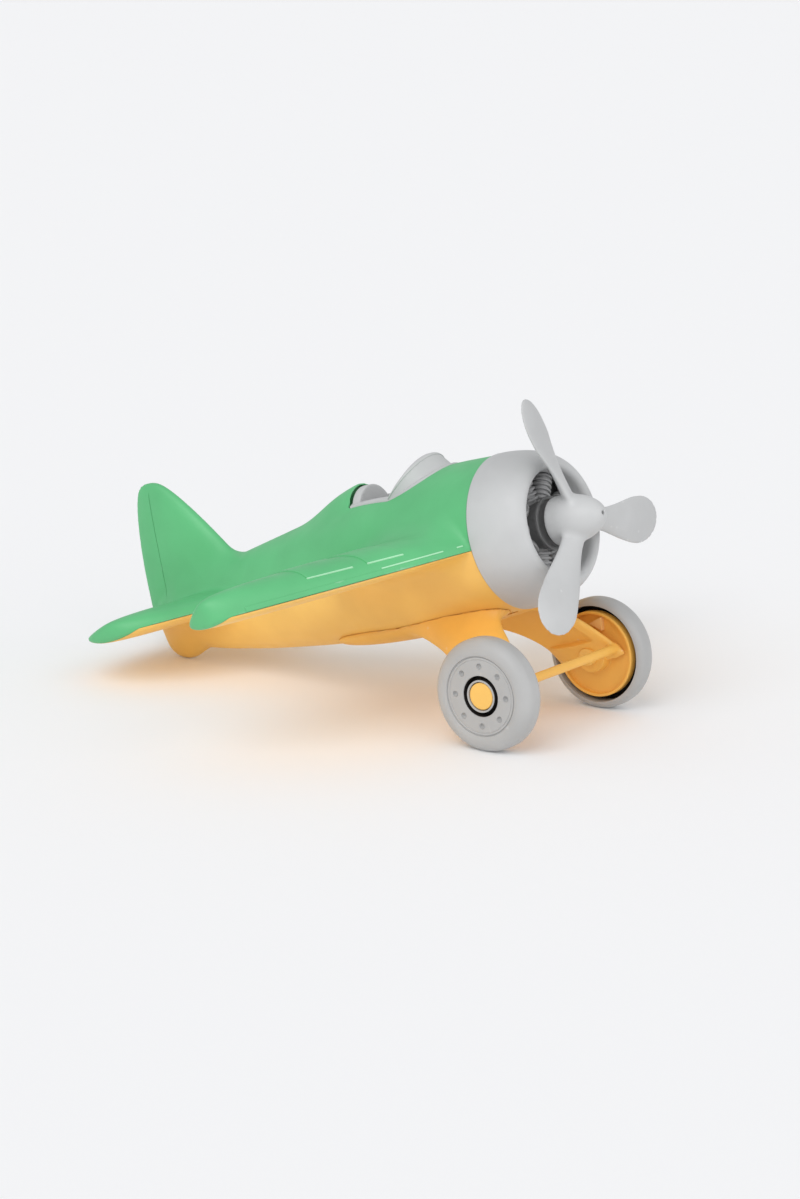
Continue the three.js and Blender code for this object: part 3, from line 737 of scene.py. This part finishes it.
def headrest_dome():
    """The upright headrest: a D with rounded edges."""
    profile = filleted([(0, 0), (1, 0, 0.1), (1, 1, 0.13), (0, 1)], 6)
    rings = []
    turns = np.radians(np.linspace(-30, 210, 61))
    for radius, along in profile:
        rings.append([(DOME["x"] + along * DOME["thickness"], DOME["radius"] * radius * math.cos(t),
                       DOME["base"] + (DOME["top"] - DOME["base"]) * radius * math.sin(t)) for t in turns])
    return loft("headrest_dome", rings[1:-1])


def make_cockpit(material):
    cockpit = join("cockpit_moulding", [cockpit_tub(), windscreen(), headrest_dome()], material)
    shade(cockpit, 50)
    finish_piece(cockpit, "airframe", "cockpit_grey", "cockpit")


# ---- nose ----

def make_cowl(material):
    outer = arc((COWL["lip"], COWL["shoulder"]),
                (COWL["radius"] - COWL["lip"], COWL["length"] - COWL["shoulder"]), 0, 90, 22)
    roll = arc((COWL["lip"], COWL["throat"]),
               (COWL["lip"] - COWL["mouth"], COWL["length"] - COWL["throat"]), 90, 180, 12)
    profile = [(COWL["spigot"] - 2, -4), (COWL["spigot"], -4), (COWL["spigot"], 0)]
    profile += filleted([(COWL["spigot"], 0), (COWL["radius"], 0.02, 0.35), outer[1]])[1:-1]
    profile += outer[1:] + roll[1:]
    profile += filleted([roll[-1], (COWL["mouth"] - 0.4, COWL["back_wall"] + 0.4, 0.3),
                         (COWL["bore"], COWL["back_wall"], 0.6), (COWL["bore"], 2)])[1:]
    profile += [(COWL["spigot"] - 2, 2), (COWL["spigot"] - 2, -4)]
    cowl = join("cowl_moulding", [lathe("cowl", profile, segments=144)], material)
    shade(cowl, 40)
    finish_piece(cowl, "airframe", "cowl_grey", "cowl")


def engine_cylinder(turn):
    """One finned cylinder with its head, standing out from the crankcase."""
    fins, foot, top, radius = 6, ENGINE["core"] - 1, ENGINE["top"], ENGINE["radius"]
    barrel_radius, head_radius = radius - 0.9, 2.4
    pitch = (top - 2.2 - foot - 2) / fins
    profile = [(0, foot), (radius - 1.1, foot)]
    for i in range(fins):
        low = foot + 2 + i * pitch
        high = low + pitch * 0.55
        profile += filleted([(barrel_radius, low), (radius, low, 0.35), (radius, high, 0.35),
                             (barrel_radius, high)], 3)
    profile += [(head_radius, top - 1.8), (head_radius, top - 0.5), (head_radius - 0.5, top), (0, top)]
    barrel = lathe("engine_cylinder", profile, axis="Z", segments=32)
    barrel.data.transform(Matrix.Rotation(-turn, 4, "X") @ Matrix.Translation((ENGINE["x"], 0, 0)))
    return barrel


def engine_boss(turn):
    """A round boss on the plate between two cylinders, with a dished end."""
    radius, circle, base = 1.9, 19.2, ENGINE["plate_front"] - 0.3
    end, dish = base + 4.2, base + 3.6
    profile = filleted([(0, base), (radius, base), (radius, end, 0.3), (1.2, end, 0.2), (1.0, dish, 0.2),
                        (0, dish)], 3)
    boss = lathe("engine_boss", profile, segments=24)
    boss.data.transform(Matrix.Rotation(-turn, 4, "X") @ Matrix.Translation((0, 0, circle)))
    return boss


def make_engine(case_material, cylinder_material):
    front, core, ring = ENGINE["plate_front"], ENGINE["core"], ENGINE["ring"]
    end = ENGINE["core_front"]
    case = filleted([(2.3, ENGINE["plate"]), (ENGINE["plate_radius"], ENGINE["plate"]),
                     (ENGINE["plate_radius"], front, 0.4), (core + 3, front, 1.5), (core, front + 2.5, 1.5),
                     (core, end - 1.6, 0.3), (ring, end - 1.2, 0.3), (ring, end, 0.3), (ring - 1.2, end, 0.3),
                     (ring - 1.5, end - 0.6, 0.3), (2.3, end - 0.6), (2.3, ENGINE["plate"])])
    parts = [lathe("crankcase", case, segments=96)]
    for i in range(ENGINE["cylinders"]):
        turn = PROPELLER["phase"] + 2 * math.pi * i / ENGINE["cylinders"]
        parts += [engine_cylinder(turn), engine_boss(turn + math.pi / ENGINE["cylinders"])]
    for part in parts[1:]:
        for polygon in part.data.polygons:
            polygon.material_index = 1
    engine = join("radial_engine_moulding", parts, case_material)
    engine.data.materials.append(cylinder_material)
    shade(engine, 45)
    finish_piece(engine, "airframe", "engine_grey", "radial_engine")


def spinner_field(x, y, z):
    """The bullet-shaped hub, with a small hole in its tip."""
    base = PROPELLER["base"] - PROPELLER["plane"]
    tip = PROPELLER["tip"] - PROPELLER["plane"]
    radial = np.hypot(y, z)
    forward = np.clip((x - base - 5) / (tip - base - 5), 0, 1)
    radius = PROPELLER["hub"] * np.sqrt(np.maximum(1 - forward ** 1.7, 0))
    side = (radial - radius) / np.hypot(1, 0.75 * forward)
    front = np.hypot(radial, np.maximum(x - tip + 3, 0)) - 3.4
    bullet = np.where(x > tip - 1, np.maximum(side, front), side)
    bullet = -blend(-bullet, x - base, 0.8)
    hole = np.maximum(radial - 0.8, tip - 2.2 - x)
    return carve(bullet, hole, 0.3)


def blade_field(x, y, z, turn):
    """One paddle blade, turned clockwise from straight up as seen from behind."""
    radial = z * math.cos(turn) - y * math.sin(turn)
    sideways = y * math.cos(turn) + z * math.sin(turn)
    length = PROPELLER["radius"] - PROPELLER["root"]
    out = np.clip((radial - PROPELLER["root"]) / length, 0, 1)
    width = lerp(PROPELLER["neck"], PROPELLER["paddle"], smoothstep(out, 0.15, 0.75))
    pitch = np.radians(lerp(PROPELLER["root_pitch"], PROPELLER["tip_pitch"], np.clip(out * 1.6, 0, 1)))
    across = sideways * np.cos(pitch) - x * np.sin(pitch)
    through = x * np.cos(pitch) + sideways * np.sin(pitch)
    thickness = lerp(PROPELLER["root_thickness"], PROPELLER["tip_thickness"], out)
    end = np.clip(1 - (1 - out) * length / PROPELLER["tip_length"], 0, 1)
    level = np.sqrt(1 - end ** 2)
    u, v = across / width, through / thickness
    reach = np.maximum(np.hypot(u, v), 1e-6)
    slope = np.hypot(np.hypot(u / width, v / thickness) / reach,
                     end / np.maximum(level, 0.3) / PROPELLER["tip_length"])
    blade = np.maximum((reach - level) / slope, radial - PROPELLER["radius"])
    return np.maximum(blade, PROPELLER["root"] - radial)


def propeller_field(x, y, z):
    body = spinner_field(x, y, z)
    for i in range(PROPELLER["blades"]):
        turn = 2 * math.pi * i / PROPELLER["blades"]
        body = blend(body, blade_field(x, y, z, turn), FILLET["blade"])
    return body


def make_propeller(material):
    propeller = surface_net("propeller_moulding", propeller_field, **PROPELLER_GRID)
    propeller.data.transform(Matrix.Translation((PROPELLER["plane"], 0, 0))
                             @ Matrix.Rotation(-PROPELLER["phase"], 4, "X"))
    propeller.data.materials.append(material)
    shade(propeller, 55)
    finish_piece(propeller, "propeller", "propeller_grey", "propeller")


# ---- undercarriage ----

LEG_TABLE = spline_table(LEG)
LEG_LEAN = math.atan2(LEG[4, 0] - LEG[0, 0], LEG[0, 1] - LEG[4, 1])
LEG_DOWN = (math.sin(LEG_LEAN), -math.cos(LEG_LEAN))
LEG_OUT = (math.cos(LEG_LEAN), math.sin(LEG_LEAN))


def leg_frame(x, y, z):
    """Where a point is along a leg, and the leg's section there: front, rear, offset and half thickness."""
    run = np.abs(y) * LEG_DOWN[0] + z * LEG_DOWN[1]
    across = np.abs(y) * LEG_OUT[0] + z * LEG_OUT[1]
    runs = LEG_TABLE[:, 0] * LEG_DOWN[0] + LEG_TABLE[:, 1] * LEG_DOWN[1]
    offsets = LEG_TABLE[:, 0] * LEG_OUT[0] + LEG_TABLE[:, 1] * LEG_OUT[1]
    front, rear, half = (np.interp(run, runs, LEG_TABLE[:, column]) for column in (2, 3, 4))
    return run - runs[0], runs[-1] - run, across - np.interp(run, runs, offsets), front, rear, half


def leg_field(x, y, z):
    """Both legs: a flat-sided streamlined strut with a channel pressed into its inner face."""
    above, below, across, front, rear, half = leg_frame(x, y, z)
    middle, half_chord = (front + rear) / 2, (front - rear) / 2
    strut = ellipse_distance(x - middle, across, half_chord, half)
    strut = np.maximum(strut, np.maximum(-above, -below - 1.5))
    channel_front = front - 3.2
    channel_middle = (channel_front + rear) / 2
    channel = ellipse_distance(x - channel_middle, across + 2.4, (channel_front - rear) / 2, half - 1.0)
    channel = np.maximum(channel, 8 - below)
    return carve(strut, channel, 0.6)


def saddle_field(x, y, z):
    """The plate under the belly: a rounded oblong from above, an ellipse in section."""
    power = SADDLE["squareness"]
    u = np.abs(x - SADDLE["x"]) / SADDLE["half_length"]
    v = np.abs(y) / SADDLE["half_width"]
    w = (z - SADDLE["z"]) / SADDLE["half_height"]
    plan = np.maximum((u ** power + v ** power) ** (1 / power), 1e-6)
    reach = np.maximum(np.hypot(plan, w), 1e-6)
    spread = np.hypot((u / plan) ** (power - 1) / SADDLE["half_length"],
                      (v / plan) ** (power - 1) / SADDLE["half_width"])
    slope = np.hypot(plan * spread, w / SADDLE["half_height"])
    return (reach - 1) * reach / np.maximum(slope, 1e-6)


def gear_field(x, y, z):
    """The legs, the saddle plate and the spreader bar, up to the backing discs and clear of the fuselage."""
    body = blend(leg_field(x, y, z), saddle_field(x, y, z), FILLET["saddle"])
    out = np.abs(y)
    bar = np.hypot(np.hypot(x - BAR["x"], z - BAR["z"]), np.maximum(out - BAR["reach"], 0)) - BAR["radius"]
    body = blend(body, bar, FILLET["bar"])
    body = np.maximum(body, out - BACKING["face"] - 0.4)
    gap_below_fuselage = 0.15
    return np.maximum(body, gap_below_fuselage - fuselage_field(x, y, z))


def backing_disc():
    """The dished disc inside the wheel, with its thin raised rim and the axle's boss, for the left side."""
    back = BACKING["face"] + BACKING["thickness"]
    rim = BACKING["radius"] - BACKING["rim_width"]
    boss_face = BACKING["face"] - 5
    profile = filleted([
        (0, boss_face), (BACKING["boss"], boss_face, 0.5), (BACKING["boss"], BACKING["face"], 0.5),
        (rim, BACKING["face"], 0.4), (rim, BACKING["rim"], 0.3), (BACKING["radius"], BACKING["rim"], 0.4),
        (BACKING["radius"], back, 0.3), (0, back)])
    return lathe("backing_disc", profile, axis="Y", segments=112, centre=HUB)


def gusset():
    """A small three-cornered rib where the leg's front flange meets the disc."""
    corners = [(-1, -40.6), (4.5, -39.2), (3.6, -44)]
    rings = [[(x, y, z) for x, z in corners] for y in (31, BACKING["face"] + 0.3)]
    return loft("gusset", rings)


def mirrored(piece):
    copy = new_object(piece.name + "_right", piece.data.copy())
    copy.data.transform(Matrix.Scale(-1, 4, (0, 1, 0)))
    copy.data.flip_normals()
    return copy


def make_landing_gear(material):
    struts = surface_net("struts", gear_field, **STRUT_GRID)
    disc, rib = backing_disc(), gusset()
    parts = [struts, disc, mirrored(disc), rib, mirrored(rib)]
    gear = join("landing_gear_moulding", parts, material)
    shade(gear, 45)
    finish_piece(gear, "airframe", "yellow_shell", "landing_gear")


# ---- wheels ----

def wheel_body():
    """The left wheel: a moulded tyre and disc with a groove, a ring of dimples and a deep hub recess."""
    radius, back, opening = WHEEL["radius"], WHEEL["back"], WHEEL["opening"]
    groove, face, disc = WHEEL["groove"], WHEEL_FACE, DISC_FACE
    well, seat, back_web = face - 5.2, face - 3.6, face - 2.6
    tyre_back = arc((radius - 2.6, back + 2.8), (2.6, 2.8), -88, 0, 8)
    tyre_front = arc((radius - 5.0, face - 4.4), (5.0, 4.4), 0, 88, 14)
    profile = [(opening, back + 0.4)] + tyre_back + tyre_front
    profile += filleted([(groove + 0.55, face - 0.25), (groove + 0.28, face - 0.3, 0.15),
                         (groove + 0.1, face - 0.95, 0.1), (groove - 0.15, face - 0.95, 0.1),
                         (groove - 0.3, disc, 0.15), (groove - 0.9, disc, 0.1),
                         (groove - 1.0, disc - 0.18, 0.05), (groove - 1.15, disc - 0.18, 0.05),
                         (groove - 1.25, disc, 0.1), (WHEEL["recess"], disc, 0.35),
                         (WHEEL["recess"], well, 0.3), (WHEEL["collar"], well, 0.3),
                         (WHEEL["collar"], face - 0.6, 0.3), (WHEEL["cap"], face - 0.6, 0.25),
                         (WHEEL["cap"], seat), (WHEEL["bore"], seat), (WHEEL["bore"], back + 3.6)], 3)
    profile += [(WHEEL["recess"] + 1.2, back + 3.6), (WHEEL["recess"] + 1.6, back_web),
                (opening - 1.4, back_web), (opening, face - 4), (opening, back + 0.4)]
    return lathe("wheel", profile, axis="Y", segments=144, centre=HUB)


def wheel_dimples():
    """The tools that press a ring of round hollows into the wheel's disc."""
    radius, depth = 1.1, 1.3
    tools = []
    for i in range(WHEEL["dimples"]):
        turn = 2 * math.pi * (i + 0.3) / WHEEL["dimples"]
        centre = (AXLE[0] + WHEEL["dimple_circle"] * math.cos(turn), 0,
                  AXLE[1] + WHEEL["dimple_circle"] * math.sin(turn))
        bowl = [(0, DISC_FACE - depth)] + arc((0, DISC_FACE), (radius, depth), -75, -8, 7)
        bowl += [(radius + 0.1, DISC_FACE + 0.02), (radius + 0.1, DISC_FACE + 1), (0, DISC_FACE + 1)]
        tools.append(lathe("dimple", bowl, axis="Y", segments=28, centre=centre))
    return tools


def in_wheel_hollow(point):
    """Whether a point lies on the walls of the hub's recess or of the wheel's hollow back, which are painted
    near black as shade.
    """
    radius = math.hypot(point.x - AXLE[0], point.z - AXLE[1])
    deep = WHEEL_FACE - abs(point.y)
    in_recess = WHEEL["collar"] - 0.05 < radius < WHEEL["recess"] + 0.05 and deep > 1.3
    in_back = WHEEL["bore"] < radius < WHEEL["opening"] - 0.02 and 2.5 < deep < WHEEL["width"] - 1.2
    return in_recess or in_back


def axle_pin():
    """The left wheel's pin: a shank, and a flat head that shows in the wheel's middle."""
    neck = WHEEL_FACE - 3.3
    profile = filleted([(0, PIN["inner"]), (PIN["shank"], PIN["inner"], 0.4), (PIN["shank"], neck),
                        (PIN["head"], neck), (PIN["head"], WHEEL_FACE - 0.9, 0.45),
                        (3.6, WHEEL_FACE - 0.8, 0.3), (0, WHEEL_FACE - 0.72)])
    return lathe("pin", profile, axis="Y", segments=72, centre=HUB)


def make_wheels(grey, yellow, painted_shade):
    about = Matrix.Translation(HUB)
    half_turn = about @ Matrix.Rotation(math.pi, 4, "Z") @ about.inverted()
    for side in ("left", "right"):
        wheel = join(f"{side}_wheel_moulding", [cut(wheel_body(), wheel_dimples())], grey)
        # The walls of the hub's recess and of the hollow back take a near-black material: painted shade
        wheel.data.materials.append(painted_shade)
        for polygon in wheel.data.polygons:
            polygon.material_index = int(in_wheel_hollow(polygon.center))
        pin = join(f"{side}_axle_pin_moulding", [axle_pin()], yellow)
        for piece in (wheel, pin):
            if side == "right":
                piece.data.transform(half_turn)
            shade(piece, 40)
        finish_piece(wheel, f"{side}_wheel", "wheel_grey", f"{side}_wheel")
        finish_piece(pin, "airframe", "pin_yellow", f"{side}_axle_pin")


# ---- materials ----

def set_inputs(node, values):
    for key, value in values.items():
        node.inputs[key].default_value = value


def plastic(name, colour, roughness=0.45):
    """Moulded plastic: a fine grain, slightly uneven colour and gloss, and edges rubbed paler by handling."""
    variation, paler = 0.05, 0.35
    material = bpy.data.materials.new(name)
    material.use_nodes = True
    nodes, links = material.node_tree.nodes, material.node_tree.links
    shader = nodes["Principled BSDF"]
    where = nodes.new("ShaderNodeTexCoord").outputs["Object"]

    def noise(scale, detail):
        texture = nodes.new("ShaderNodeTexNoise")
        set_inputs(texture, {"Scale": scale, "Detail": detail})
        links.new(where, texture.inputs["Vector"])
        return texture.outputs["Fac"]

    def ranged(value, low, high, to_low, to_high):
        node = nodes.new("ShaderNodeMapRange")
        set_inputs(node, {"From Min": low, "From Max": high, "To Min": to_low, "To Max": to_high})
        links.new(value, node.inputs["Value"])
        return node.outputs["Result"]

    def mixed(share, first, second):
        node = nodes.new("ShaderNodeMix")
        node.data_type = "RGBA"
        links.new(share, node.inputs["Factor"])
        for key, value in (("A", first), ("B", second)):
            socket = next(s for s in node.inputs if s.name == key and s.type == "RGBA")
            if isinstance(value, tuple):
                socket.default_value = (*value, 1)
            else:
                links.new(value, socket)
        return next(s for s in node.outputs if s.type == "RGBA")

    darker = tuple(c * (1 - variation) for c in colour)
    lighter = tuple(min(1, c * (1 + variation)) for c in colour)
    body = mixed(ranged(noise(45, 4), 0.35, 0.65, 0, 1), darker, lighter)
    worn = tuple(min(1, c + paler * (1 - c)) for c in colour)
    edges = nodes.new("ShaderNodeNewGeometry").outputs["Pointiness"]
    links.new(mixed(ranged(edges, 0.54, 0.62, 0, 0.35), body, worn), shader.inputs["Base Color"])
    links.new(ranged(noise(160, 3), 0.3, 0.7, roughness - 0.05, roughness + 0.06), shader.inputs["Roughness"])
    bump = nodes.new("ShaderNodeBump")
    set_inputs(bump, {"Strength": 0.06, "Distance": 0.0002})
    links.new(noise(2600, 2), bump.inputs["Height"])
    links.new(bump.outputs["Normal"], shader.inputs["Normal"])
    return material


# ---- stage ----

def make_stage():
    """A wide floor of matt white paper."""
    paper = bpy.data.materials.new("paper")
    paper.use_nodes = True
    shader = paper.node_tree.nodes["Principled BSDF"]
    set_inputs(shader, {"Base Color": (*PAPER, 1), "Roughness": 0.9, "Specular IOR Level": 0.1,
                        "Emission Color": (1, 1, 1, 1), "Emission Strength": PAPER_GLOW})
    built = bmesh.new()
    bmesh.ops.create_circle(built, cap_ends=True, segments=96, radius=12)
    floor = built_object("floor", built, paper)


def make_lights():
    """An even white sky, a broad sun above the toy's right side and a weaker one before its nose."""
    world = bpy.data.worlds.new("studio")
    world.use_nodes = True
    background = world.node_tree.nodes["Background"]
    set_inputs(background, {"Color": (*SKY, 1), "Strength": SKY_STRENGTH})
    bpy.context.scene.world = world
    for name, (energy, angle, place) in SUNS.items():
        sun = bpy.data.lights.new(name, "SUN")
        sun.energy, sun.angle = energy, math.radians(angle)
        new_object(name, sun).rotation_euler = Vector(place).to_track_quat("Z", "Y").to_euler()
    bpy.context.scene.view_settings.view_transform = "Standard"


def make_camera():
    """The camera stands at the nose's right, a little above the toy."""
    low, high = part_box("left_wheel")
    ground = Vector(((low.x + high.x) / 2, 0, 0))
    azimuth, elevation = math.radians(CAMERA["azimuth"]), math.radians(CAMERA["elevation"])
    back = Vector((math.cos(elevation) * math.sin(azimuth), -math.cos(elevation) * math.cos(azimuth),
                   math.sin(elevation)))
    right = Vector((math.cos(azimuth), math.sin(azimuth), 0))
    up = back.cross(right)
    data = bpy.data.cameras.new("camera")
    data.lens, data.sensor_width, data.clip_start = CAMERA["lens"], 36, 0.05
    place = ground + back * CAMERA["distance"] - right * CAMERA["left"] + up * CAMERA["up"]
    turn = Matrix((right, up, back)).transposed().to_4x4()
    camera = new_object("camera", data)
    camera.matrix_world = Matrix.Translation(place) @ turn
    bpy.context.scene.camera = camera


# ---- the whole toy ----

make_camera()
make_stage()
make_lights()

green = plastic("green_plastic", GREEN)
yellow = plastic("yellow_plastic", YELLOW)
grey = plastic("grey_plastic", GREY)

make_shells(green, yellow, plastic("worn_green_plastic", PAINTED_HIGHLIGHT_GREEN))
make_cockpit(grey)
make_cowl(grey)
make_engine(plastic("engine_case_plastic", SHADED_CASE_GREY, 0.4), plastic("engine_plastic", SHADED_ENGINE_GREY, 0.4))
make_propeller(grey)
# The landing gear takes a darker, more orange copy of the yellow: painted shade for the wing's shadow over
# the legs
make_landing_gear(plastic("gear_plastic", SHADED_GEAR_YELLOW))
make_wheels(plastic("wheel_plastic", WHEEL_GREY), yellow, plastic("hollow_shade", PAINTED_SHADE, 0.8))

steel = plastic("shaft_steel", STEEL, 0.3)
for node in ("propeller_shaft", "shaft_retainer"):
    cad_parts[node].data.materials.clear()
    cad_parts[node].data.materials.append(steel)
